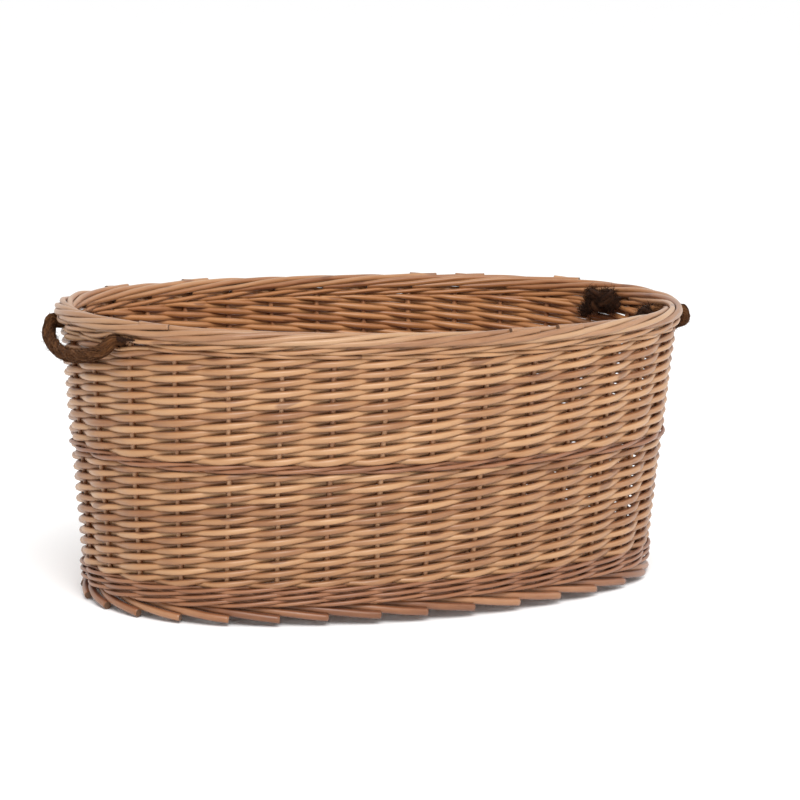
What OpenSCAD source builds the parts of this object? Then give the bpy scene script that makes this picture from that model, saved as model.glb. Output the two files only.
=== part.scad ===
// Oval willow log basket: randed siding on round stakes, three wales, a rolled rim
// border, a foot border under a woven stick base, and a rope loop handle at each end.
// The oval is drawn with four arcs, so every wall face is a true cone or cylinder.
// +X runs along the basket, +Z is up, and z = 0 is the flat underside of the foot.

/* [Oval] */
// Length over the rim border
rim_length = 780; // [740:1:820]
// Width over the rim border
rim_width = 540; // [520:1:560]
// Radius of the two end arcs, at the outside of the rim
end_radius = 230; // [215:1:240]
// Overall height
height = 340; // [320:1:360]
// How far the foot stands in from the rim, all round
foot_inset = 30; // [20:1:36]

/* [Wall] */
// Thickness of the woven wall, over the rods on both sides of the stakes
wall_t = 18; // [17:0.5:20]
// Set back of the wall's outer face from the edge of the rim
wall_inset = 5; // [4:0.5:7]
// Diameter of a stake
stake_d = 7; // [6:0.5:8]
// Height of the foot border
foot_h = 24; // [22:1:28]
// Height of the bottom wale
bottom_wale_h = 18; // [15:1:20]
// Middle of the middle wale, above the floor
middle_wale_z = 180; // [160:1:200]
// Height of the middle wale
middle_wale_h = 12; // [10:1:16]
// Height of the top wale, which the ropes pass through
top_wale_h = 20; // [19:1:24]
// Height of the rim border
rim_h = 15; // [14:1:18]
// Width cut off each edge of a border
border_chamfer = 4; // [2:0.5:5]

/* [Base] */
// Thickness of the woven base
base_t = 12; // [11.5:0.5:14]
// Diameter of a short stick that runs across the base
cross_stick_d = 10; // [9:0.5:11]
// Distance between the cross sticks
cross_stick_gap = 52; // [44:1:54]
// Diameter of a long stick, which pierces the cross sticks
long_stick_d = 6.5; // [5:0.5:7]
// Distance between the long sticks
long_stick_gap = 32; // [24:1:36]

/* [Rope handles] */
// Diameter of the rope
rope_d = 15; // [13:0.5:15]
// Drop of a handle below its two holes, along its own plane
handle_drop = 35; // [34:1:44]
// Radius of a handle's two corners
handle_corner_r = 22; // [20:1:22]
// Turn of each corner before the flatter bottom arc begins
handle_corner_turn = 72; // [72:1:76]
// Angle at which a handle stands off from straight down
handle_lean = 43; // [38:1:48]
// Radius of the hard middle of a knot
knot_core_r = 14; // [12:0.5:15]
// Radius of the two turns of rope round a knot
knot_turn_r = 12; // [10:0.5:13]
// Length of the frayed tail below a knot
knot_tail = 30; // [24:1:34]

/* [Hidden] */
$fn = 96;

// Four-arc oval: the centres of the end arcs and of the side arcs, and where they meet
end_centre = rim_length / 2 - end_radius;
radius_step = rim_width / 2 - end_radius;
side_centre = (end_centre * end_centre - radius_step * radius_step) / (2 * radius_step);
side_radius = side_centre + rim_width / 2;
end_half = atan2(side_centre, end_centre);
side_half = 90 - end_half;

// Heights of the bands
rim_z = height - rim_h;
top_wale_z = rim_z - top_wale_h;
middle_wale_low = middle_wale_z - middle_wale_h / 2;
middle_wale_high = middle_wale_z + middle_wale_h / 2;
bottom_wale_top = foot_h + bottom_wale_h;

// Lean of the wall, as inset per millimetre of height
border_overhang = 2;
taper = (foot_inset + border_overhang - wall_inset) / (rim_z - foot_h);
lean = atan(taper);

// Stakes
stakes_per_end = 8;
stakes_per_side = 8;
end_stake_step = 2 * end_half / (stakes_per_end - 1);
side_stake_step = 2 * side_half / (stakes_per_side + 1);
stake_low = 10;
stake_high = height - 6;
stake_gap = 0.1;

// Borders and wales
border_t = wall_t + 2 * border_overhang;
wale_bulge = 1.5;
willow = [0.80, 0.63, 0.46];
light_willow = [0.87, 0.72, 0.55];
red_willow = [0.70, 0.47, 0.33];
stick_brown = [0.62, 0.46, 0.32];
rope_brown = [0.27, 0.18, 0.12];

// Base
base_z = foot_h;
base_middle = base_z + base_t / 2;
cross_stick_reach = 4;
long_stick_reach = 2;
stick_end_gap = 8;

// Rope handles: a hole lies against the second stake from an end's middle, on its inner side
hole_z = rim_z - top_wale_h / 2;
rope_stake_gap = 1.5;
hole_stake_pitch = (rope_d + stake_d) / 2 + rope_stake_gap;
hole_angle = 1.5 * end_stake_step - asin(hole_stake_pitch / (end_radius - stake_inset(hole_z)));
hole_gap = 0.2;
hinge_gap = 0.6;
hinge_r = end_radius - outer_inset(hole_z) + rope_d / 2 + hinge_gap;
hinge_x = end_centre + hinge_r * cos(hole_angle);
hinge_half = hinge_r * sin(hole_angle);
corner_centre = hinge_half - handle_corner_r;
bottom_arc_r = handle_corner_r + corner_centre / cos(handle_corner_turn);
bottom_arc_rise = (bottom_arc_r - handle_corner_r) * sin(handle_corner_turn);
handle_leg = handle_drop - bottom_arc_r + bottom_arc_rise;
joint_swell = 0.4;
knot_gap = 1;
knot_turn_tilt = 28;

// Inset of the wall's outer face from the rim's edge, at a height
function outer_inset(z) = wall_inset + (rim_z - z) * taper;
function inner_inset(z) = outer_inset(z) + wall_t;
function stake_inset(z) = outer_inset(z) + wall_t / 2;

// Sweeps a profile round the oval. In the profile, x is minus the inset and y is height.
module oval_ring() {
    for (turn = [0, 180]) rotate(turn) {
        translate([end_centre, 0, 0])
            rotate_extrude(angle = 2 * end_half, start = -end_half)
                translate([end_radius, 0]) children();
        translate([0, -side_centre, 0])
            rotate_extrude(angle = 2 * side_half, start = 90 - side_half)
                translate([side_radius, 0]) children();
    }
}

// Profile of a plain woven band between two heights
module band_profile(low, high, bulge = 0) {
    polygon([
        [-inner_inset(low) - bulge, low], [-outer_inset(low) + bulge, low],
        [-outer_inset(high) + bulge, high], [-inner_inset(high) - bulge, high]
    ]);
}

// Profile of a border: a rectangle with its four edges cut off
module border_profile(inset, low, top) {
    out = -inset;
    in = -inset - border_t;
    cut = border_chamfer;
    polygon([
        [in + cut, low], [out - cut, low], [out, low + cut], [out, top - cut],
        [out - cut, top], [in + cut, top], [in, top - cut], [in, low + cut]
    ]);
}

// One stake in the plane of its arc, from one height to another
module leaning_stake(radius, diameter, low, high) {
    translate([radius - stake_inset(low), 0, low])
        rotate([0, lean, 0])
            cylinder(d = diameter, h = (high - low) / cos(lean));
}

// The stakes of one end. side is 1 for the right end and -1 for the left end.
module end_stakes(side, diameter, low, high) {
    half = (stakes_per_end - 1) / 2;
    rotate(side > 0 ? 0 : 180)
        for (i = [-half : half])
            translate([end_centre, 0, 0]) rotate(i * end_stake_step)
                leaning_stake(end_radius, diameter, low, high);
}

// The stakes of one long side. side is 1 for the back and -1 for the front.
module side_stakes(side, diameter, low, high) {
    half = (stakes_per_side - 1) / 2;
    rotate(side > 0 ? 0 : 180)
        for (i = [-half : half])
            translate([0, -side_centre, 0]) rotate(90 + i * side_stake_step)
                leaning_stake(side_radius, diameter, low, high);
}

// The channels that the stakes run in
module stake_channels(low, high) {
    d = stake_d + 2 * stake_gap;
    for (side = [-1, 1]) {
        end_stakes(side, d, low, high);
        side_stakes(side, d, low, high);
    }
}

// A band of weaving with its stake channels
module woven_band(low, high, bulge = 0) {
    difference() {
        oval_ring() band_profile(low, high, bulge);
        stake_channels(low - stake_d, high + stake_d);
    }
}

// Puts a shape at a rope hole. end is 1 for the right end, side is 1 for the back.
// There the shape's x axis points out through the wall, along the oval's normal.
module at_rope_hole(end, side) {
    translate([end * end_centre, 0, hole_z])
        rotate(end > 0 ? side * hole_angle : 180 - side * hole_angle)
            children();
}

module foot_border() {
    color(red_willow) difference() {
        oval_ring() border_profile(foot_inset, 0, foot_h);
        stake_channels(stake_low - stake_gap, foot_h + stake_d);
    }
}

module bottom_wale() {
    color(red_willow) woven_band(foot_h, bottom_wale_top, wale_bulge);
}

module lower_siding() {
    color(willow) woven_band(bottom_wale_top, middle_wale_low);
}

module middle_wale() {
    color(red_willow) woven_band(middle_wale_low, middle_wale_high, wale_bulge);
}

module upper_siding() {
    color(willow) woven_band(middle_wale_high, top_wale_z);
}

module top_wale() {
    color(willow) difference() {
        woven_band(top_wale_z, rim_z);
        for (end = [-1, 1], side = [-1, 1])
            at_rope_hole(end, side)
                translate([end_radius - 2 * wall_t - wall_inset, 0, 0]) rotate([0, 90, 0])
                    cylinder(d = rope_d + 2 * hole_gap, h = 3 * wall_t);
    }
}

module rim_border() {
    color(light_willow) difference() {
        oval_ring() border_profile(0, rim_z, height);
        stake_channels(rim_z - stake_d, stake_high + stake_gap);
    }
}

module front_stakes() {
    color(stick_brown) side_stakes(-1, stake_d, stake_low, stake_high);
}

module back_stakes() {
    color(stick_brown) side_stakes(1, stake_d, stake_low, stake_high);
}

module left_end_stakes() {
    color(stick_brown) end_stakes(-1, stake_d, stake_low, stake_high);
}

module right_end_stakes() {
    color(stick_brown) end_stakes(1, stake_d, stake_low, stake_high);
}

// Half the width of the base at a distance along it, on the side arcs
function base_half_width(x) =
    sqrt(pow(side_radius - inner_inset(base_z), 2) - x * x) - side_centre;

// Half the length of the base at a distance across it, on the end arcs
function base_half_length(y) =
    sqrt(pow(end_radius - inner_inset(base_z), 2) - y * y) + end_centre;

// The short sticks that run across the base, before they are pierced
module cross_sticks(diameter) {
    for (i = [-cross_stick_reach : cross_stick_reach]) {
        x = i * cross_stick_gap;
        half = base_half_width(x) - stick_end_gap;
        translate([x, -half, base_middle]) rotate([-90, 0, 0])
            cylinder(d = diameter, h = 2 * half);
    }
}

// The long sticks, which run through the cross sticks
module long_sticks(diameter) {
    for (i = [-long_stick_reach : long_stick_reach]) {
        y = i * long_stick_gap;
        half = base_half_length(y) - stick_end_gap;
        translate([-half, y, base_middle]) rotate([0, 90, 0])
            cylinder(d = diameter, h = 2 * half);
    }
}

module base_weave() {
    low = base_z;
    high = base_z + base_t;
    color(willow) difference() {
        union() {
            oval_ring() polygon([
                [-inner_inset(low) - wale_bulge, low], [-inner_inset(high) - wale_bulge, high],
                [-end_radius / 2, high], [-end_radius / 2, low]
            ]);
            oval_core(low, high);
        }
        cross_sticks(cross_stick_d + 2 * stake_gap);
        long_sticks(long_stick_d + 2 * stake_gap);
    }
}

// The flat middle of the base, inside the swept edge
module oval_core(low, high) {
    inset = end_radius / 2 - 1;
    translate([0, 0, low]) linear_extrude(high - low) {
        for (turn = [0, 180]) rotate(turn)
            translate([end_centre, 0]) circle(r = end_radius - inset);
        intersection() {
            translate([0, -side_centre]) circle(r = side_radius - inset);
            translate([0, side_centre]) circle(r = side_radius - inset);
            square([2 * (end_centre + (end_radius - inset) * cos(end_half)), rim_width],
                center = true);
        }
    }
}

module base_cross_sticks() {
    color(stick_brown) difference() {
        cross_sticks(cross_stick_d);
        long_sticks(long_stick_d + 2 * stake_gap);
    }
}

module base_long_sticks() {
    color(stick_brown) long_sticks(long_stick_d);
}

// One arc of the rope loop, in the loop's own plane, where y runs across the end of
// the basket and z is up
module rope_arc(centre_y, centre_z, radius, from, to) {
    translate([0, centre_y, centre_z]) rotate([90, 0, 90])
        rotate_extrude(angle = to - from, start = from)
            translate([radius, 0]) circle(d = rope_d);
}

// A rope loop that hangs straight down from the hinge line, which is the y axis
module rope_loop() {
    leg_z = -handle_leg;
    turn = handle_corner_turn;
    bend_y = corner_centre + handle_corner_r * cos(turn);
    bend_z = leg_z - handle_corner_r * sin(turn);
    for (side = [-1, 1]) {
        translate([0, side * hinge_half, 0]) sphere(d = rope_d);
        translate([0, side * hinge_half, leg_z]) cylinder(d = rope_d, h = handle_leg);
        translate([0, side * hinge_half, leg_z]) sphere(d = rope_d + joint_swell);
        translate([0, side * bend_y, bend_z]) sphere(d = rope_d + joint_swell);
    }
    rope_arc(corner_centre, leg_z, handle_corner_r, -turn, 0);
    rope_arc(-corner_centre, leg_z, handle_corner_r, 180, 180 + turn);
    rope_arc(0, leg_z + bottom_arc_rise, bottom_arc_r, 180 + turn, 360 - turn);
}

module handle_rope(end) {
    color(rope_brown) translate([end * hinge_x, 0, hole_z])
        rotate([0, -end * handle_lean, 0]) rope_loop();
}

module left_handle_rope() {
    handle_rope(-1);
}

module right_handle_rope() {
    handle_rope(1);
}

// A rope end: the length in the wall's hole, and the knot and tail inside the basket
module rope_knot(end, side) {
    wall_in = end_radius - inner_inset(hole_z - rope_d / 2);
    wall_out = hinge_r - rope_d / 2 - hinge_gap;
    knot_x = wall_in - knot_turn_r - rope_d / 2 - knot_gap;
    color(rope_brown) at_rope_hole(end, side) {
        translate([knot_x, 0, 0]) rotate([0, 90, 0])
            cylinder(d = rope_d, h = wall_out - knot_x);
        translate([knot_x, 0, 0]) {
            sphere(r = knot_core_r);
            for (tilt = [-knot_turn_tilt, knot_turn_tilt]) rotate([0, 0, tilt])
                rotate_extrude() translate([knot_turn_r, 0]) circle(d = rope_d);
            translate([-knot_turn_r / 2, 0, -knot_tail])
                cylinder(d = rope_d, h = knot_tail);
        }
    }
}

module left_front_knot() {
    rope_knot(-1, -1);
}

module left_back_knot() {
    rope_knot(-1, 1);
}

module right_front_knot() {
    rope_knot(1, -1);
}

module right_back_knot() {
    rope_knot(1, 1);
}

foot_border();
bottom_wale();
lower_siding();
middle_wale();
upper_siding();
top_wale();
rim_border();
front_stakes();
back_stakes();
left_end_stakes();
right_end_stakes();
base_weave();
base_cross_sticks();
base_long_sticks();
left_handle_rope();
right_handle_rope();
left_front_knot();
left_back_knot();
right_front_knot();
right_back_knot();
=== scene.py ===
import math

import bpy
import numpy as np
from mathutils import Matrix, Vector


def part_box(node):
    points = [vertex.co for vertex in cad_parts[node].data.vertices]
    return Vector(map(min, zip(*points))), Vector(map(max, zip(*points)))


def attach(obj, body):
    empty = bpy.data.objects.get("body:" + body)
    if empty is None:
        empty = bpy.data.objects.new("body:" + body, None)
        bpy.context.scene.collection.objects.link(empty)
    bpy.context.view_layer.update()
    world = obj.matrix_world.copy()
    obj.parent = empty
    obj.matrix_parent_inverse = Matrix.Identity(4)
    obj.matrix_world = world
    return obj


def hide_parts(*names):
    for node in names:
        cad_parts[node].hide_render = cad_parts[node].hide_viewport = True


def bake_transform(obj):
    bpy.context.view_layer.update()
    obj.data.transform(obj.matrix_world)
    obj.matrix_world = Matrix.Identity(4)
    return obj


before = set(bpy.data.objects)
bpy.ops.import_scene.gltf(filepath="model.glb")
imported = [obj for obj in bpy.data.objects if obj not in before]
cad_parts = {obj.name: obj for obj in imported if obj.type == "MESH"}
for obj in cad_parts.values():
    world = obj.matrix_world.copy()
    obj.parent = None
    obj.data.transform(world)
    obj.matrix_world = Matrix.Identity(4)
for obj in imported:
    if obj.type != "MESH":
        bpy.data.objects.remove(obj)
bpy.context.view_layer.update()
rng = np.random.default_rng(36)

# Lengths are in millimetres and angles in radians until a mesh is made.
MM = 0.001


def box_mm(node):
    low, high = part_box(node)
    return np.array(low) / MM, np.array(high) / MM


# ---------------------------------------------------------------- the oval and the wall

rim_low, rim_high = box_mm("rim_border")
HALF_LENGTH, HALF_WIDTH = rim_high[0], rim_high[1]
RIM_Z, TOP_Z = rim_low[2], rim_high[2]
END_R = 230.0
END_X = HALF_LENGTH - END_R
SIDE_R = (END_X**2 + HALF_WIDTH**2 - END_R**2) / (2 * (HALF_WIDTH - END_R))
SIDE_Y = SIDE_R - HALF_WIDTH
END_HALF = math.atan2(SIDE_Y, END_X)

# Places along the oval are counted in gaps between stakes, from a stake beside the middle of
# the -X end towards -Y, so that a stake stands at every whole number.
END_GAPS, SIDE_GAPS = 7, 9
GAPS = 2 * (END_GAPS + SIDE_GAPS)
END_STEP = 2 * END_HALF / END_GAPS
SIDE_STEP = (math.pi - 2 * END_HALF) / SIDE_GAPS
LEFT_AT = -0.5
FRONT_AT = LEFT_AT + GAPS / 4
RIGHT_AT = LEFT_AT + GAPS / 2
BACK_AT = LEFT_AT + 3 * GAPS / 4

WALL_T = 18.0
WALL_INSET = 5.0
TAPER = 0.0897


def plan(u, inset):
    """Points and outward normals of the oval, u gaps along it and inset from the rim."""
    u = np.asarray(u, float)
    start = LEFT_AT - END_GAPS / 2
    u = (u - start) % GAPS + start
    left = u < LEFT_AT + END_GAPS / 2
    front = ~left & (u < RIGHT_AT - END_GAPS / 2)
    right = ~left & ~front & (u < RIGHT_AT + END_GAPS / 2)
    back = ~left & ~front & ~right
    angle = np.select(
        [left, front, right],
        [
            math.pi + (u - LEFT_AT) * END_STEP,
            1.5 * math.pi + (u - FRONT_AT) * SIDE_STEP,
            (u - RIGHT_AT) * END_STEP,
        ],
        0.5 * math.pi + (u - BACK_AT) * SIDE_STEP,
    )
    radius = np.where(left | right, END_R, SIDE_R) - inset
    nx, ny = np.cos(angle), np.sin(angle)
    x = END_X * (right * 1.0 - left * 1.0) + radius * nx
    y = SIDE_Y * (front * 1.0 - back * 1.0) + radius * ny
    return x, y, nx, ny


def stake_inset(z):
    return WALL_INSET + WALL_T / 2 + TAPER * np.maximum(0.0, RIM_Z - z)


# A hand-woven basket is never true: the rim tilts and dips, and the foot lifts at the sides.
RIM_TILT, RIM_DIP, FOOT_LIFT, FOOT_NARROWING = 5.0, 4.0, 5.0, 8.0
DIP_AT, LIFT_AT = 255.0, 205.0
FOOT_HALF_WIDTH = 240.0


def unevenness(x, y, z):
    up = z / TOP_Z
    rim = -RIM_TILT * x / HALF_LENGTH - RIM_DIP * (y / DIP_AT) ** 2
    return up * rim + (1 - up) * FOOT_LIFT * (y / LIFT_AT) ** 2


# The stakes are not quite evenly spaced either: those of each side stand a little early.
DRIFT_COS, DRIFT_SIN = 0.12, 0.10


def drifted(u):
    turn = 4 * math.pi * (u - LEFT_AT) / GAPS
    return u - DRIFT_COS * (1 - np.cos(turn)) - DRIFT_SIN * np.sin(turn)


def gaps_from(u, at):
    """How many gaps a place stands from another one, the short way round the oval."""
    return (drifted(u) - at + GAPS / 2) % GAPS - GAPS / 2


def place(u, out, z):
    """Points (n, 3) and outward normals at a height, a distance out from the stakes' line."""
    u, out, z = np.broadcast_arrays(drifted(np.asarray(u, float)), out, np.asarray(z, float))
    x, y, nx, ny = plan(u, stake_inset(z) - out)
    y_made = y * (1 - FOOT_NARROWING / FOOT_HALF_WIDTH * (1 - z / TOP_Z))
    points = np.stack([x, y_made, z + unevenness(x, y, z)], -1)
    return points, np.stack([nx, ny, np.zeros_like(nx)], -1)


# ---------------------------------------------------------------- tubes

CUT_FACE_U = -1.0


class Tubes:
    """Many closed tubes in one mesh, each with a map (metres along, turns round) and a tint."""

    def __init__(self, sides=8):
        self.sides = sides
        self.points, self.tints, self.faces = [], [], []
        self.maps, self.smooth = [], []
        self.count = 0

    def add(self, centre, normal, radius, tint, closed=False, flat=1.0):
        centre = np.asarray(centre, float)
        n, k = len(centre), self.sides
        if closed:
            tangent = np.roll(centre, -1, 0) - np.roll(centre, 1, 0)
        else:
            tangent = np.gradient(centre, axis=0)
        tangent /= np.linalg.norm(tangent, axis=1)[:, None]
        e1 = normal - (normal * tangent).sum(1)[:, None] * tangent
        e1 /= np.linalg.norm(e1, axis=1)[:, None]
        e2 = np.cross(tangent, e1)
        radius = np.broadcast_to(radius, n)[:, None, None]
        turn = math.pi + 2 * math.pi * np.arange(k) / k
        ring = np.cos(turn)[None, :, None] * e1[:, None] * flat
        ring = ring + np.sin(turn)[None, :, None] * e2[:, None]
        self.points.append((centre[:, None] + radius * ring).reshape(-1, 3))
        self.tints.append(np.full(n * k, tint))
        along = np.concatenate([[0], np.cumsum(np.linalg.norm(np.diff(centre, axis=0), axis=1))])
        rows = n if closed else n - 1
        i, j = np.meshgrid(np.arange(rows), np.arange(k), indexing="ij")
        i, j = i.ravel(), j.ravel()
        i2, j2 = (i + 1) % n, (j + 1) % k
        quads = np.stack([i * k + j, i * k + j2, i2 * k + j2, i2 * k + j], 1) + self.count
        step = along[1] - along[0]
        a = along[i] * MM + tint
        b = (along[i] + step if closed else along[i2]) * MM + tint
        uv = np.stack(
            [a, j / k, a, (j + 1) / k, b, (j + 1) / k, b, j / k], 1
        ).reshape(-1, 2)
        self.faces.append((quads.reshape(-1), np.full(len(quads), 4)))
        self.maps.append(uv)
        self.smooth.append(np.ones(len(quads), bool))
        if not closed:
            first = np.arange(k)[::-1] + self.count
            last = np.arange(k) + self.count + (n - 1) * k
            self.faces.append((np.concatenate([first, last]), np.array([k, k])))
            self.maps.append(np.tile([CUT_FACE_U, 0.0], (2 * k, 1)))
            self.smooth.append(np.zeros(2, bool))
        self.count += n * k

    def build(self, name, material, slot):
        mesh = bpy.data.meshes.new(name)
        points = np.concatenate(self.points) * MM
        corners = np.concatenate([f[0] for f in self.faces])
        totals = np.concatenate([f[1] for f in self.faces])
        mesh.vertices.add(len(points))
        mesh.vertices.foreach_set("co", points.astype(np.float32).ravel())
        mesh.loops.add(len(corners))
        mesh.loops.foreach_set("vertex_index", corners.astype(np.int32))
        mesh.polygons.add(len(totals))
        starts = np.concatenate([[0], np.cumsum(totals)[:-1]])
        mesh.polygons.foreach_set("loop_start", starts.astype(np.int32))
        mesh.polygons.foreach_set("loop_total", totals.astype(np.int32))
        mesh.polygons.foreach_set("use_smooth", np.concatenate(self.smooth))
        uv = mesh.uv_layers.new(name="rod")
        uv.data.foreach_set("uv", np.concatenate(self.maps).astype(np.float32).ravel())
        tint = mesh.attributes.new("tint", "FLOAT", "POINT")
        tint.data.foreach_set("value", np.concatenate(self.tints).astype(np.float32))
        mesh.update(calc_edges=True)
        mesh.validate()
        mesh.materials.append(material)
        piece = bpy.data.objects.new(name, mesh)
        bpy.context.scene.collection.objects.link(piece)
        return piece


def through(keys, samples):
    """A smooth path through rows of numbers (Catmull-Rom), samples to each stretch."""
    keys = np.asarray(keys, float)
    before = 2 * keys[0] - keys[1]
    after = 2 * keys[-1] - keys[-2]
    k = np.vstack([before, keys, after])
    t = np.linspace(0, 1, samples, endpoint=False)[:, None]
    parts = []
    for p0, p1, p2, p3 in zip(k[:-3], k[1:-2], k[2:-1], k[3:]):
        parts.append(
            0.5
            * (
                2 * p1
                + (p2 - p0) * t
                + (2 * p0 - 5 * p1 + 4 * p2 - p3) * t**2
                + (3 * p1 - p0 - 3 * p2 + p3) * t**3
            )
        )
    return np.vstack([*parts, keys[-1:]])


def wander(v, amount, wave=4.7):
    """A slow random wave along a rod."""
    a, b, c = rng.uniform(0, 2 * math.pi, 3)
    w = 2 * math.pi * v / wave
    return amount * (0.5 * np.sin(w + a) + 0.3 * np.sin(1.9 * w + b) + 0.2 * np.sin(3.3 * w + c))


# ---------------------------------------------------------------- materials


def linear(r, g, b):
    c = np.array([r, g, b]) / 255.0
    c = np.where(c <= 0.04045, c / 12.92, ((c + 0.055) / 1.055) ** 2.4)
    return (*c.tolist(), 1.0)


class Nodes:
    def __init__(self, name):
        self.material = bpy.data.materials.new(name)
        self.material.use_nodes = True
        self.tree = self.material.node_tree
        self.tree.nodes.clear()
        self.out = self.tree.nodes.new("ShaderNodeOutputMaterial")
        self.shader = self.tree.nodes.new("ShaderNodeBsdfPrincipled")
        self.link(self.shader, "BSDF", self.out, "Surface")

    def new(self, kind, **settings):
        node = self.tree.nodes.new("ShaderNode" + kind)
        for key, value in settings.items():
            setattr(node, key, value)
        return node

    def link(self, a, out, b, into):
        self.tree.links.new(a.outputs[out], b.inputs[into])

    def math(self, operation, a, b):
        node = self.new("Math", operation=operation)
        for socket, value in zip(node.inputs, (a, b)):
            if isinstance(value, (int, float)):
                socket.default_value = value
            else:
                self.tree.links.new(value, socket)
        return node.outputs[0]

    def noise(self, vector, scale, detail=2.0, rough=0.5):
        node = self.new("TexNoise")
        node.inputs["Scale"].default_value = scale
        node.inputs["Detail"].default_value = detail
        node.inputs["Roughness"].default_value = rough
        self.tree.links.new(vector, node.inputs["Vector"])
        return node.outputs["Fac"]

    def stretched(self, vector, along, around):
        node = self.new("Mapping")
        node.inputs["Scale"].default_value = (along, around, 1.0)
        self.tree.links.new(vector, node.inputs["Vector"])
        return node.outputs["Vector"]

    def ramp(self, value, stops):
        node = self.new("ValToRGB")
        band = node.color_ramp
        while len(band.elements) < len(stops):
            band.elements.new(0.5)
        for element, (at, colour) in zip(band.elements, stops):
            element.position = at
            element.color = colour
        self.tree.links.new(value, node.inputs["Fac"])
        return node.outputs["Color"]

    def mix(self, factor, a, b, blend="MIX"):
        node = self.new("Mix", data_type="RGBA", blend_type=blend)
        for socket, value in ((node.inputs[0], factor), (node.inputs[6], a), (node.inputs[7], b)):
            if isinstance(value, (int, float, tuple)):
                socket.default_value = value
            else:
                self.tree.links.new(value, socket)
        return node.outputs[2]

    def bump(self, height, strength, distance):
        node = self.new("Bump")
        node.inputs["Strength"].default_value = strength
        node.inputs["Distance"].default_value = distance
        self.tree.links.new(height, node.inputs["Height"])
        self.link(node, "Normal", self.shader, "Normal")


WHITE = (1.0, 1.0, 1.0, 1.0)
# The warm dark colour that the rods' inward faces are multiplied by: painted shade.
INWARD_SHADE = (1.0, 0.80, 0.60, 1.0)
# Painted shade by how far round a rod a point is, from its outward side (0) to its inward side (0.5):
# wall rods are darkest where they touch their neighbours, as the shade in the gaps; rim rods only on
# their inward half.
WALL_CREVICE_SHADE = [(0.09, WHITE), (0.23, (0.66, 0.46, 0.30, 1.0)), (0.36, INWARD_SHADE)]
RIM_CREVICE_SHADE = [(0.28, WHITE), (0.42, INWARD_SHADE)]
# The cut faces' dark brown is painted shade on the angled cut ends; the buds' brown is their own
# colour.
BUD_BROWN, CUT_FACE_SHADE = (92, 52, 28), (92, 64, 42)
TINT_SHARE, STAIN_SHARE, FIBRE_SHARE, SHADE_SHIFT = 0.55, 0.70, 0.45, 0.36


def willow(name, dark, middle, light, crevice_shade=WALL_CREVICE_SHADE, gloss=0.36):
    """Peeled willow: a tint for each rod, stains, fibre streaks, buds, painted shade towards the
    rod's sides and inward face, and cut faces painted dark as shade.
    """
    n = Nodes(name)
    uv = n.new("UVMap", uv_map="rod").outputs["UV"]
    tint = n.new("Attribute", attribute_name="tint").outputs["Fac"]
    stain = n.noise(n.stretched(uv, 16.0, 0.7), 1.0, 3.0)
    fibre = n.noise(n.stretched(uv, 55.0, 9.0), 1.0, 4.0, 0.65)
    fine = n.noise(n.stretched(uv, 160.0, 34.0), 1.0, 3.0, 0.6)
    shade = n.math(
        "ADD", n.math("MULTIPLY", tint, TINT_SHARE), n.math("MULTIPLY", stain, STAIN_SHARE)
    )
    shade = n.math("ADD", shade, n.math("MULTIPLY", fibre, FIBRE_SHARE))
    shade = n.math("SUBTRACT", shade, SHADE_SHIFT)
    colour = n.ramp(shade, [(0.0, dark), (0.45, middle), (1.0, light)])
    buds = n.noise(n.stretched(uv, 22.0, 1.6), 1.0, 0.0)
    bud = n.ramp(buds, [(0.70, (0, 0, 0, 1)), (0.76, (1, 1, 1, 1))])
    colour = n.mix(n.math("MULTIPLY", bud, 0.55), colour, linear(*BUD_BROWN))
    split = n.new("SeparateXYZ")
    n.tree.links.new(uv, split.inputs[0])
    turned = n.math("ABSOLUTE", n.math("SUBTRACT", split.outputs["Y"], 0.5), 0.0)
    # Painted shade: the colour is multiplied darker and warmer towards the rod's sides and inward
    # face.
    colour = n.mix(1.0, colour, n.ramp(turned, crevice_shade), "MULTIPLY")
    # Cut faces get a flat dark brown: painted shade.
    cut = n.math("LESS_THAN", split.outputs["X"], -0.5)
    colour = n.mix(cut, colour, linear(*CUT_FACE_SHADE))
    n.tree.links.new(colour, n.shader.inputs["Base Color"])
    rough = n.math("ADD", n.math("MULTIPLY", fibre, 0.25), gloss - 0.1)
    n.tree.links.new(rough, n.shader.inputs["Roughness"])
    n.shader.inputs["Specular IOR Level"].default_value = 0.5
    n.shader.inputs["Sheen Weight"].default_value = 0.08
    grain = n.math("ADD", n.math("MULTIPLY", fibre, 0.7), n.math("MULTIPLY", fine, 0.3))
    n.bump(grain, 0.35, 0.0006)
    return n.material


def jute(name, dark, middle, light):
    """Coarse hairy rope: each strand's fibres streak along it."""
    n = Nodes(name)
    uv = n.new("UVMap", uv_map="rod").outputs["UV"]
    tint = n.new("Attribute", attribute_name="tint").outputs["Fac"]
    fibre = n.noise(n.stretched(uv, 130.0, 16.0), 1.0, 5.0, 0.7)
    blotch = n.noise(n.stretched(uv, 30.0, 2.0), 1.0, 3.0)
    shade = n.math("ADD", n.math("MULTIPLY", fibre, 0.75), n.math("MULTIPLY", blotch, 0.35))
    shade = n.math("ADD", shade, n.math("MULTIPLY", tint, 0.3))
    colour = n.ramp(n.math("SUBTRACT", shade, 0.2), [(0.15, dark), (0.5, middle), (0.9, light)])
    n.tree.links.new(colour, n.shader.inputs["Base Color"])
    n.shader.inputs["Roughness"].default_value = 0.9
    n.shader.inputs["Specular IOR Level"].default_value = 0.12
    n.shader.inputs["Sheen Weight"].default_value = 0.02
    n.bump(fibre, 0.8, 0.0012)
    return n.material


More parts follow.
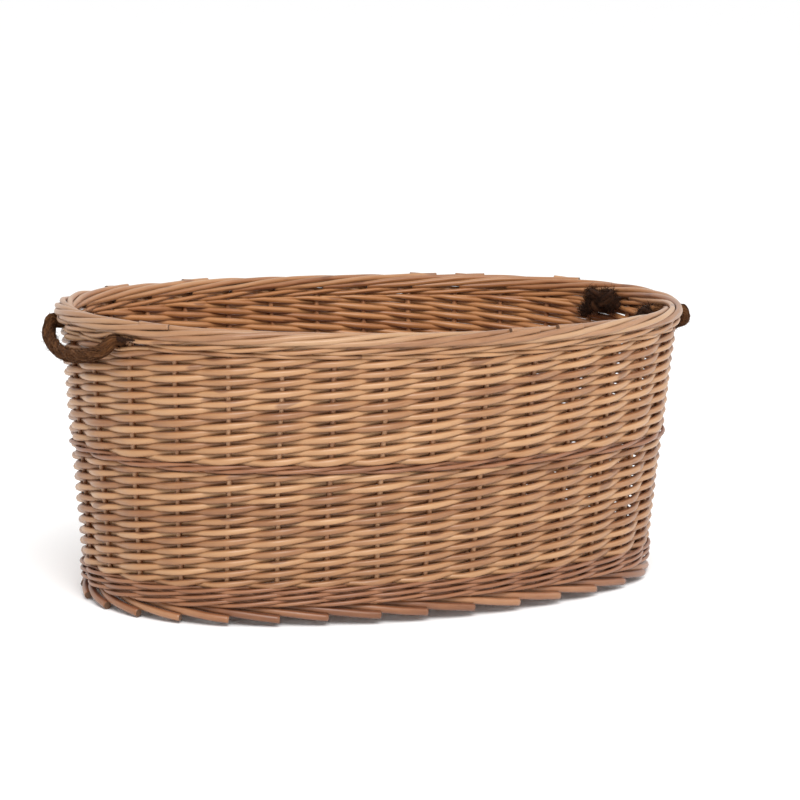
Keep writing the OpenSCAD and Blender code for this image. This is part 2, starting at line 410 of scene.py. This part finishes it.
WALL = willow("willow_wall", linear(114, 69, 37), linear(154, 111, 73), linear(180, 140, 100))
RIM = willow(
    "willow_rim", linear(116, 73, 43), linear(149, 108, 74), linear(173, 138, 103), RIM_CREVICE_SHADE
)
RED = willow("willow_red", linear(96, 53, 27), linear(135, 88, 55), linear(165, 120, 84))
STICK = willow("willow_stick", linear(124, 79, 46), linear(160, 116, 79), linear(186, 145, 107))
ROPE = jute("rope_brown", linear(38, 20, 9), linear(92, 56, 29), linear(142, 100, 64))
# A darker copy of the rope's colour: painted shade for the knots inside the wall and for the thin
# tail under the rim.
SHADED_ROPE = jute("rope_shaded", linear(18, 8, 3), linear(48, 26, 13), linear(88, 56, 33))

# ---------------------------------------------------------------- the handles' holes

HOLE_ANGLE = math.radians(23.21)
HOLE_Z = 320.0
ROPE_R = 7.5


def hole_places():
    for middle in (LEFT_AT, RIGHT_AT):
        for side in (-1, 1):
            u = middle + side * HOLE_ANGLE / END_STEP
            x, y, _, _ = plan(u, stake_inset(HOLE_Z))
            yield u, HOLE_Z - unevenness(x, y, HOLE_Z)


HOLES = list(hole_places())
PUSH, PUSH_REACH, PUSH_WIDTH = 6.0, 20.0, 0.30


def parted(u, z):
    """Heights of a rod whose run is parted round the rope holes."""
    z = z.copy()
    for at, level in HOLES:
        gap = gaps_from(u, at)
        near = np.abs(gap) < 3 * PUSH_WIDTH
        if not near.any():
            continue
        offset = z[np.argmin(np.abs(gap))] - level
        push = PUSH * max(0.0, 1 - abs(offset) / PUSH_REACH) * (1 if offset > 0 else -1)
        z += push * np.exp(-((gap / PUSH_WIDTH) ** 2)) * near
    return z


# ---------------------------------------------------------------- the woven wall

SAMPLES = 8
SWEEP = 5.5
EDGE_ROOM = 0.012
TIP_TAPER, TIP_GAPS = 0.35, 1.6
ROD_SIZES = (0.93, 1.07)
BORDER_SIZES = (0.94, 1.06)
THINNER_BETWEEN = 0.14
# How far a wall rod strays: in thickness (a share), outwards, in height (mm) and along (gaps).
THICKNESS_WAVE, THICKNESS_WAVE_GAPS = 0.05, 3.1
OUT_WAVE, HEIGHT_WAVE, ALONG_WAVE = 0.35, 0.45, 0.05


def randing(name, node, passes, swell, width, above=0.0):
    """French randing: one rod starts at every stake, and each climbs one row for each gap."""
    low, high = box_mm(node)
    height = high[2] + above - low[2]
    last = passes + 1 - passes % 2
    v = np.linspace(-1, last, (last + 1) * SAMPLES + 1)
    rise = np.clip((v + 0.5) / passes, EDGE_ROOM, 1 - EDGE_ROOM)
    z = low[2] + height * (rise * (1 - swell) + swell * rise**2)
    pitch = height / passes * (1 - swell + 2 * swell * rise)
    tubes = Tubes()
    for start in range(GAPS):
        u = start + v
        size = width * rng.uniform(*ROD_SIZES)
        radius = pitch / 2 * size * (1 - THINNER_BETWEEN * np.sin(math.pi * v) ** 2)
        radius = radius * (1 + wander(v, THICKNESS_WAVE, THICKNESS_WAVE_GAPS))
        radius = radius * (1 - TIP_TAPER * np.clip((v - passes + TIP_GAPS) / TIP_GAPS, 0, 1))
        out = (SWEEP + wander(v, OUT_WAVE)) * np.cos(math.pi * v)
        level = parted(u, z + wander(v, HEIGHT_WAVE))
        along = u + wander(v, ALONG_WAVE)
        points, normals = place(along, out, level)
        tubes.add(points, normals, radius, rng.random())
    piece = tubes.build(name, WALL, "willow")
    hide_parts(node)
    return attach(piece, "basket")


WALE_RODS = 3
WALE_OUT_WAVE, WALE_HEIGHT_WAVE, WALE_THICKNESS_WAVE = 0.5, 0.6, 0.07
WAVE_TURNS, WAVE_SCALE = (7, 16, 25, 41), 2.5


def wale(name, node, rounds, width, slant, material, slot, above=0.0, below=0.0):
    """Three-rod waling: each rod passes in front of two stakes and behind one.

    The number of gaps is no multiple of three, so the rods follow on from each other, and one
    closed run three times round the oval makes a whole row.
    """
    low, high = box_mm(node)
    bottom = low[2] + above - below
    height = (high[2] - bottom) / rounds
    laps = WALE_RODS * GAPS
    u = np.linspace(0, laps, laps * SAMPLES, endpoint=False)
    tubes = Tubes()
    for row in range(rounds):
        middle = bottom + height * (row + 0.5)
        turn = 2 * math.pi * (u - 0.5 - row) / WALE_RODS
        out = SWEEP * (1 / 3 + 4 / 3 * np.cos(turn)) + wave(u, WALE_OUT_WAVE)
        z = middle + slant * np.sin(turn) + wave(u, WALE_HEIGHT_WAVE)
        for at, level in HOLES:
            z = z + parting(u, z, at, level)
        points, normals = place(u, out, z)
        radius = width / 2 * (1 + wave(u, WALE_THICKNESS_WAVE))
        tubes.add(points, normals, radius, rng.random(), closed=True)
    piece = tubes.build(name, material, slot)
    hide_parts(node)
    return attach(piece, "basket")


def wave(u, amount):
    """A random wave that closes on itself after three laps of the oval."""
    total = 0
    for turns in WAVE_TURNS:
        step = 2 * math.pi * turns / (WALE_RODS * GAPS)
        total = total + np.sin(step * u + rng.uniform(0, 2 * math.pi))
    return amount * total / WAVE_SCALE


def parting(u, z, at, level):
    """How far a row is pushed up or down where it passes a rope hole."""
    gap = gaps_from(u, at)
    push = PUSH * np.clip(1 - np.abs(z - level) / PUSH_REACH, 0, 1) * np.sign(z - level)
    return push * np.exp(-((gap / PUSH_WIDTH) ** 2))


# The upper randing runs on past its band, since the top wale fills only the upper part of its own.
OVERRUN = 8.5
# The bottom wale runs down into the foot border's band, as the photo's foot is lower than it.
UNDERRUN = 5.0
RANDING_WIDTH = 1.34
randing("lower_randing", "lower_siding", 21, 0.03, RANDING_WIDTH)
randing("upper_randing", "upper_siding", 20, -0.08, RANDING_WIDTH, OVERRUN)
wale("bottom_wale_rods", "bottom_wale", 3, 4.8, 2.5, RED, "willow_red", below=UNDERRUN)
wale("middle_wale_rods", "middle_wale", 1, 5.0, 3.1, RED, "willow_red")
wale("top_wale_rods", "top_wale", 1, 5.4, 3.0, WALL, "willow", OVERRUN)

STAKE_D = 6.6
STAKE_LOW, STAKE_HIGH = 18.0, 320.0
STAKE_PUSH = 0.08
STAKE_RINGS = 40
STAKE_LEAN, STAKE_BEND, BEND_MM = 0.025, 0.5, 60.0


def stakes():
    tubes = Tubes()
    for stake in range(GAPS):
        z = np.linspace(STAKE_LOW, STAKE_HIGH, STAKE_RINGS)
        lean = wander(z / BEND_MM, STAKE_LEAN)
        for at, level in HOLES:
            gap = gaps_from(float(stake), at)
            if abs(gap) < 0.5:
                near = np.exp(-(((z - level) / 2 / PUSH_REACH) ** 2))
                lean = lean + STAKE_PUSH * near * np.sign(gap)
        points, normals = place(stake + lean, wander(z / BEND_MM, STAKE_BEND), z)
        radius = STAKE_D / 2 * rng.uniform(*ROD_SIZES)
        tubes.add(points, normals, radius, rng.random())
    piece = tubes.build("wall_stakes", STICK, "willow_stick")
    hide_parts("front_stakes", "back_stakes", "left_end_stakes", "right_end_stakes")
    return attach(piece, "basket")


stakes()

# ---------------------------------------------------------------- the borders

FOOT_ROD_D = 9.0
# (gaps along, out from the stakes' line, height) of a foot border rod
FOOT_PATH = [
    (-0.03, 0.0, 36.0),
    (0.03, -1.0, 28.0),
    (0.30, -5.5, 22.5),
    (0.80, -7.0, 19.5),
    (1.25, -5.5, 16.8),
    (1.65, -1.0, 14.6),
    (2.10, 4.2, 12.0),
    (2.60, 7.6, 8.2),
    (3.06, 9.2, 5.0),
]
BROKEN_SHARE = 0.35
BORDER_SAMPLES = 7
BORDER_START = 0.03
BORDER_WAVE_GAPS = 2.9


def border(name, node, path, rod_d, material, slot, breaks=()):
    tubes = Tubes(10)
    for stake in range(GAPS):
        pieces = list(breaks) if breaks and rng.random() < BROKEN_SHARE else [path]
        tint = rng.random()
        for part in pieces:
            run = through(part, BORDER_SAMPLES)
            s = run[:, 0]
            u = stake + s + wander(s, 0.02) + rng.uniform(-BORDER_START, BORDER_START)
            out = run[:, 1] + wander(s, 0.5, BORDER_WAVE_GAPS)
            z = run[:, 2] + wander(s, 0.4, BORDER_WAVE_GAPS)
            points, normals = place(u, out, z)
            radius = rod_d / 2 * rng.uniform(*BORDER_SIZES) * (1 + wander(s, 0.04, 2.3))
            tubes.add(points, normals, radius, tint)
            tint = rng.random()
    piece = tubes.build(name, material, slot)
    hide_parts(node)
    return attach(piece, "basket")


border("foot_border_rods", "foot_border", FOOT_PATH, FOOT_ROD_D, RED, "willow_red")

RIM_ROD_D = 6.9
# As FOOT_PATH, for a rim border rod, which a broken one follows in two parts.
RIM_PATH = [
    (0.00, 0.5, 314.0),
    (0.12, 0.8, 319.5),
    (0.45, 4.5, 324.8),
    (1.00, 9.4, 327.8),
    (1.60, 10.6, 329.8),
    (2.20, 10.2, 333.8),
    (2.75, 7.2, 336.7),
    (3.30, 2.2, 336.9),
    (3.90, -2.6, 335.6),
    (4.40, -4.7, 332.6),
    (4.90, -4.9, 329.2),
    (5.40, -4.4, 327.0),
    (5.90, -3.0, 325.8),
]
RIM_RISING = RIM_PATH[:6] + [(2.70, 9.0, 337.6), (2.95, 8.0, 338.8)]
RIM_FALLING = [(2.35, 6.5, 338.8), (2.70, 5.4, 338.2)] + RIM_PATH[7:]
border(
    "rim_border_rods", "rim_border", RIM_PATH, RIM_ROD_D, RIM, "willow_light",
    breaks=(RIM_RISING, RIM_FALLING),
)

# ---------------------------------------------------------------- the base

base_low, base_high = box_mm("base_weave")
BASE_Z = (base_low[2] + base_high[2]) / 2
CROSS_GAP = 52.0
CROSS_D = 10.0
LONG_D = 6.5
CROSS_COUNT, LONG_COUNT = 9, 5
LONG_GAP = 32.0
ROWS_PER_LONG = 5
BASE_ROD_D = 6.2
BASE_EDGE = 2.0
BASE_SQUEEZE = 1.6
BASE_STEP = 5
BASE_WAVE_MM = 60


def half_length_at(y, inset):
    """Half the oval's length at a distance y from its long axis."""
    y = np.abs(y)
    end = END_R - inset
    side = SIDE_R - inset
    at_end = END_X + np.sqrt(np.maximum(end**2 - y**2, 0))
    at_side = np.sqrt(np.maximum(side**2 - (SIDE_Y + y) ** 2, 0))
    return np.where(y < end * math.sin(END_HALF), at_end, at_side)


def base():
    inset = WALL_INSET + WALL_T - BASE_EDGE + TAPER * (RIM_Z - BASE_Z)
    row_gap = LONG_GAP / ROWS_PER_LONG
    reach = int((HALF_WIDTH - inset) / row_gap)
    rods, sticks = Tubes(), Tubes(10)
    for row in range(-reach, reach + 1):
        y = row * row_gap
        half = float(half_length_at(y, inset))
        x = np.linspace(-half, half, max(8, int(2 * half / BASE_STEP)))
        is_long = row % ROWS_PER_LONG == 0 and abs(row) <= ROWS_PER_LONG * (LONG_COUNT // 2)
        sweep = (CROSS_D + BASE_ROD_D) / 2 - BASE_SQUEEZE
        phase = math.pi * x / CROSS_GAP + math.pi * row
        z = BASE_Z + (0 if is_long else sweep) * np.cos(phase) + wander(x / BASE_WAVE_MM, 0.3)
        centre = np.stack([x, y + wander(x / BASE_WAVE_MM, 0.5), z], -1)
        normal = np.tile([0.0, 0.0, 1.0], (len(x), 1))
        d = LONG_D if is_long else BASE_ROD_D * rng.uniform(*BORDER_SIZES)
        (sticks if is_long else rods).add(centre, normal, d / 2, rng.random())
    for stick in range(CROSS_COUNT):
        x = (stick - CROSS_COUNT // 2) * CROSS_GAP
        side = SIDE_R - inset
        half = math.sqrt(side**2 - x**2) - SIDE_Y
        y = np.linspace(-half, half, 60)
        centre = np.stack([x + wander(y / BASE_WAVE_MM, 0.6), y, np.full_like(y, BASE_Z)], -1)
        normal = np.tile([0.0, 0.0, 1.0], (len(y), 1))
        sticks.add(centre, normal, CROSS_D / 2, rng.random())
    weave = rods.build("base_weave_rods", WALL, "willow")
    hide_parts("base_weave")
    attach(weave, "basket")
    frame_sticks = sticks.build("base_sticks", STICK, "willow_stick")
    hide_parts("base_cross_sticks", "base_long_sticks")
    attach(frame_sticks, "basket")


base()

# ---------------------------------------------------------------- the rope handles

HINGE_GAP = 0.6
HINGE_R = END_R - WALL_INSET - TAPER * (RIM_Z - HOLE_Z) + ROPE_R + HINGE_GAP
HINGE_X = END_X + HINGE_R * math.cos(HOLE_ANGLE)
HINGE_HALF = HINGE_R * math.sin(HOLE_ANGLE)
HANDLE_DROP = 31.5
CORNER_R = 26.0
CORNER_TURN = math.radians(68)
HANDLE_LEAN = math.radians(37)
CORNER_Y = HINGE_HALF - CORNER_R
SAG_R = CORNER_R + CORNER_Y / math.cos(CORNER_TURN)
SAG_RISE = (SAG_R - CORNER_R) * math.sin(CORNER_TURN)
LEG = HANDLE_DROP - SAG_R + SAG_RISE
KNOT_INSET = 13.0
KNOT_R = END_R - WALL_INSET - WALL_T - TAPER * (RIM_Z - HOLE_Z) - KNOT_INSET


def loop_path():
    """The rope's middle line in the loop's own plane: (across, down), from one hole to the other."""
    corner = np.linspace(0, CORNER_TURN, 6)
    across = CORNER_Y + CORNER_R * np.cos(corner)
    down = LEG + CORNER_R * np.sin(corner)
    half_sag = math.pi / 2 - CORNER_TURN
    sag = np.linspace(half_sag, -half_sag, 13)[1:-1]
    low_across = SAG_R * np.sin(sag)
    low_down = SAG_R * np.cos(sag) - SAG_RISE + LEG
    return (
        np.concatenate([across, low_across, -across[::-1]]),
        np.concatenate([down, low_down, down[::-1]]),
    )


def handle_points(end):
    across, down = loop_path()
    x = HINGE_X + down * math.sin(HANDLE_LEAN)
    z = HOLE_Z - down * math.cos(HANDLE_LEAN)
    loop = np.stack([x, across, z], -1)
    out = np.array([math.cos(HOLE_ANGLE), math.sin(HOLE_ANGLE), 0.0])
    middle = np.array([END_X, 0.0, HOLE_Z])
    inside = [middle + out * r for r in (KNOT_R, KNOT_R + 14, HINGE_R - 16, HINGE_R - 7)]
    start = np.array(inside)
    stop = start[::-1] * [1, -1, 1]
    points = np.vstack([start, loop, stop])
    keep = [0, 1, 2, 3, *range(5, len(points) - 5), *range(len(points) - 4, len(points))]
    points = through(points[keep], 6)
    return points * [end, 1, 1]


def resample(points, spacing):
    lengths = np.concatenate([[0], np.cumsum(np.linalg.norm(np.diff(points, axis=0), axis=1))])
    at = np.linspace(0, lengths[-1], int(lengths[-1] / spacing) + 1)
    return np.stack([np.interp(at, lengths, points[:, i]) for i in range(3)], -1), at


def carried_frame(points):
    """Unit side vectors that follow a path without twisting."""
    tangent = np.gradient(points, axis=0)
    tangent /= np.linalg.norm(tangent, axis=1)[:, None]
    side = np.cross(tangent[0], [0.0, 0.0, 1.0])
    sides = []
    for t in tangent:
        side = side - side.dot(t) * t
        side = side / np.linalg.norm(side)
        sides.append(side)
    sides = np.array(sides)
    return tangent, sides, np.cross(tangent, sides)


LAY = 84.0
STRAND_SHARE = 1 / (1 + 2 / math.sqrt(3))
STRAND_SWELL = 1.08
ROPE_STEP = 1.6


def laid_rope(tubes, path, radius):
    """Three strands twisted round each other along a path."""
    points, at = resample(path, ROPE_STEP)
    _, side, up = carried_frame(points)
    strand = radius * STRAND_SHARE * STRAND_SWELL
    for k in range(3):
        turn = 2 * math.pi * (at / LAY + k / 3)
        away = np.cos(turn)[:, None] * side + np.sin(turn)[:, None] * up
        wobble = 1 + wander(at / 20, 0.04)
        centre = points + away * (radius - strand)
        tubes.add(centre, away, strand * wobble, rng.random())
    return points


def hairs(tubes, points, radius, count, length):
    """Loose fibres that stand off a rope's surface."""
    tangent, side, up = carried_frame(points)
    for _ in range(count):
        i = rng.integers(2, len(points) - 2)
        turn = rng.uniform(0, 2 * math.pi)
        away = math.cos(turn) * side[i] + math.sin(turn) * up[i]
        along = tangent[i] * rng.uniform(-1, 1) + np.cross(tangent[i], away) * rng.uniform(-1, 1)
        base_at = points[i] + away * radius * 0.8
        size = length * rng.uniform(0.5, 1.3)
        mid = base_at + away * size * rng.uniform(0.3, 0.6) + along * size * 0.3
        tip = mid + away * size * rng.uniform(-0.1, 0.4) + along * size * rng.uniform(0.2, 0.8)
        path = through([base_at, mid, tip], 3)
        normal = np.tile(np.cross(path[-1] - path[0], away + 0.01), (len(path), 1))
        tubes.add(path, normal, np.linspace(0.32, 0.10, len(path)), rng.random())


MATTED_LIFT = 1.2


def matted(tubes, points, radius, count, length):
    """Fibres that lie along a rope, close to its surface."""
    _, side, up = carried_frame(points)
    spacing = np.linalg.norm(points[1] - points[0])
    for _ in range(count):
        size = length * rng.uniform(0.5, 1.4)
        steps = max(3, int(size / spacing))
        i = rng.integers(1, len(points) - steps - 1)
        span = np.arange(i, i + steps)
        turn = rng.uniform(0, 2 * math.pi) + np.linspace(0, rng.uniform(-0.2, 0.9), steps)
        lift = radius * rng.uniform(0.90, 0.99)
        lift = lift + MATTED_LIFT * np.sin(np.linspace(0, math.pi, steps)) * rng.random()
        away = np.cos(turn)[:, None] * side[span] + np.sin(turn)[:, None] * up[span]
        tubes.add(points[span] + away * lift[:, None], away, rng.uniform(0.28, 0.5), rng.random())


KNOT_SIZE = 14.0
KNOT_ROPE_R = 6.8
KNOT_SHIFT = {"front": 10.0, "back": 22.0}
KNOT_DROP = {"front": 10.0, "back": 4.0}
# Points of the frayed ends: (along the wall from the knot, down, in from the wall).
KNOT_BRUSH = [(6, 0, 0), (18, 2, 3), (28, 6, 0)]
KNOT_TAIL = [(-6, 0, 4), (-17, 9, 6), (-22, 22, 4)]
BRUSH_R, TAIL_R = 6.2, 5.0


def knot(name, centre, out, toward, shift):
    """An overhand knot pulled tight against the wall, with a frayed end and a hanging tail."""
    t = np.linspace(0, 2 * math.pi, 60)
    up = np.array([0.0, 0.0, 1.0])
    a = 1.2 * (np.sin(t) + 2 * np.sin(2 * t)) / 3
    b = 0.78 * (np.cos(t) - 2 * np.cos(2 * t)) / 3
    c = -0.55 * np.sin(3 * t)
    turns = KNOT_SIZE * (a[:, None] * toward + b[:, None] * up + c[:, None] * out)
    tied = centre + toward * shift + turns
    brush, tail = (
        through([centre + toward * (shift + a) - up * down - out * back for a, down, back in keys], 8)
        for keys in (KNOT_BRUSH, KNOT_TAIL)
    )
    ropes, fibres = Tubes(9), Tubes(3)
    for path, radius, count, length in (
        (tied, KNOT_ROPE_R, 1500, 7.5), (brush, BRUSH_R, 600, 9.0), (tail, TAIL_R, 420, 9.0)
    ):
        line = laid_rope(ropes, path, radius)
        hairs(fibres, line, radius, count, length)
    # The knot takes the darker rope colour, which is painted shade.
    piece = ropes.build(f"{name}_rope", SHADED_ROPE, "rope")
    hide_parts(name)
    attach(piece, "basket")
    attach(fibres.build(f"{name}_fibres", SHADED_ROPE, "rope"), "basket")


def outside_tail():
    """A thin frayed end that lies along the wall under the rim, beside the left front hole."""
    along = np.linspace(0.06, 0.52, 24)
    out, z = SWEEP + 9.0 - 3.0 * along, HOLE_Z - 1.0 + 4.0 * along
    points, normals = place(HOLES[1][0] + along, out, z)
    tail, fuzz = Tubes(7), Tubes(3)
    tail.add(points, normals, np.linspace(3.4, 0.8, len(points)), 0.3)
    hairs(fuzz, points, 1.6, 120, 5.0)
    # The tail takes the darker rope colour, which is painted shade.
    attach(tail.build("left_front_outside_tail", SHADED_ROPE, "rope"), "basket")
    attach(fuzz.build("left_front_outside_fibres", SHADED_ROPE, "rope"), "basket")


def handle(end, side_name):
    path = handle_points(end)
    strands = Tubes(9)
    line = laid_rope(strands, path, ROPE_R)
    rope = strands.build(f"{side_name}_rope", ROPE, "rope")
    fuzz = Tubes(3)
    hairs(fuzz, line, ROPE_R, 300, 6.0)
    matted(fuzz, line, ROPE_R, 1500, 14.0)
    fibres = fuzz.build(f"{side_name}_rope_fibres", ROPE, "rope")
    for piece in (rope, fibres):
        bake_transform(piece)
    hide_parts(f"{side_name}_handle_rope")
    run = line * MM
    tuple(run[0])
    for y_side, place_name in ((-1, "front"), (1, "back")):
        out = np.array([end * math.cos(HOLE_ANGLE), y_side * math.sin(HOLE_ANGLE), 0.0])
        toward = np.array([0.0, -y_side, 0.0])
        toward -= toward.dot(out) * out
        toward /= np.linalg.norm(toward)
        centre = np.array([end * END_X, 0.0, HOLE_Z - KNOT_DROP[place_name]]) + out * KNOT_R
        knot(f"{side_name}_{place_name}_knot", centre, out, toward, KNOT_SHIFT[place_name])


handle(-1, "left")
handle(1, "right")
outside_tail()

# ---------------------------------------------------------------- floor, light and camera

floor_mesh = bpy.data.meshes.new("floor")
FLOOR_HALF = 20.0
FLOOR_PALE, WORLD_STRENGTH = 0.97, 1.03
floor_mesh.from_pydata(
    [(-FLOOR_HALF, -FLOOR_HALF, 0), (FLOOR_HALF, -FLOOR_HALF, 0),
     (FLOOR_HALF, FLOOR_HALF, 0), (-FLOOR_HALF, FLOOR_HALF, 0)],
    [], [(0, 1, 2, 3)],
)
floor = bpy.data.objects.new("floor", floor_mesh)
bpy.context.scene.collection.objects.link(floor)
pale = Nodes("pale_floor")
pale.shader.inputs["Base Color"].default_value = (FLOOR_PALE, FLOOR_PALE, FLOOR_PALE, 1)
pale.shader.inputs["Roughness"].default_value = 0.9
pale.shader.inputs["Specular IOR Level"].default_value = 0.1
floor_mesh.materials.append(pale.material)

world = bpy.data.worlds.new("studio")
world.use_nodes = True
world.node_tree.nodes["Background"].inputs["Color"].default_value = (1, 1, 1, 1)
world.node_tree.nodes["Background"].inputs["Strength"].default_value = WORLD_STRENGTH
bpy.context.scene.world = world
bpy.context.scene.view_settings.view_transform = "Standard"


def area_light(name, at, size, power):
    data = bpy.data.lights.new(name, "AREA")
    data.size = size
    data.energy = power
    lamp = bpy.data.objects.new(name, data)
    bpy.context.scene.collection.objects.link(lamp)
    lamp.location = at
    lamp.rotation_mode = "QUATERNION"
    lamp.rotation_quaternion = (Vector((0, 0, 0.2)) - Vector(at)).to_track_quat("-Z", "Y")


area_light("key", (-0.9, -2.6, 2.7), 2.0, 108)
area_light("fill", (2.6, -1.4, 1.8), 2.0, 16)

VIEW_AZIMUTH = math.radians(-26.9)
VIEW_ELEVATION = math.radians(10.05)
VIEW_ROLL = math.radians(0.9)
VIEW_DISTANCE = 3.8504
FOCAL_LENGTH = 144.6
SENSOR = 36.0
SHIFT = (0.0345, 0.0495)

camera_data = bpy.data.cameras.new("camera")
camera_data.sensor_width = SENSOR
camera_data.lens = FOCAL_LENGTH
camera_data.shift_x, camera_data.shift_y = SHIFT
camera = bpy.data.objects.new("camera", camera_data)
bpy.context.scene.collection.objects.link(camera)
back = Vector((
    math.sin(VIEW_AZIMUTH) * math.cos(VIEW_ELEVATION),
    -math.cos(VIEW_AZIMUTH) * math.cos(VIEW_ELEVATION),
    math.sin(VIEW_ELEVATION),
))
right = Vector((math.cos(VIEW_AZIMUTH), math.sin(VIEW_AZIMUTH), 0))
up = back.cross(right)
turned_right = math.cos(VIEW_ROLL) * right + math.sin(VIEW_ROLL) * up
turned_up = math.cos(VIEW_ROLL) * up - math.sin(VIEW_ROLL) * right
aim = Vector((0, 0, TOP_Z * MM / 2))
camera.matrix_world = Matrix.Translation(aim + back * VIEW_DISTANCE) @ Matrix(
    (turned_right, turned_up, back)
).transposed().to_4x4()
bpy.context.scene.camera = camera
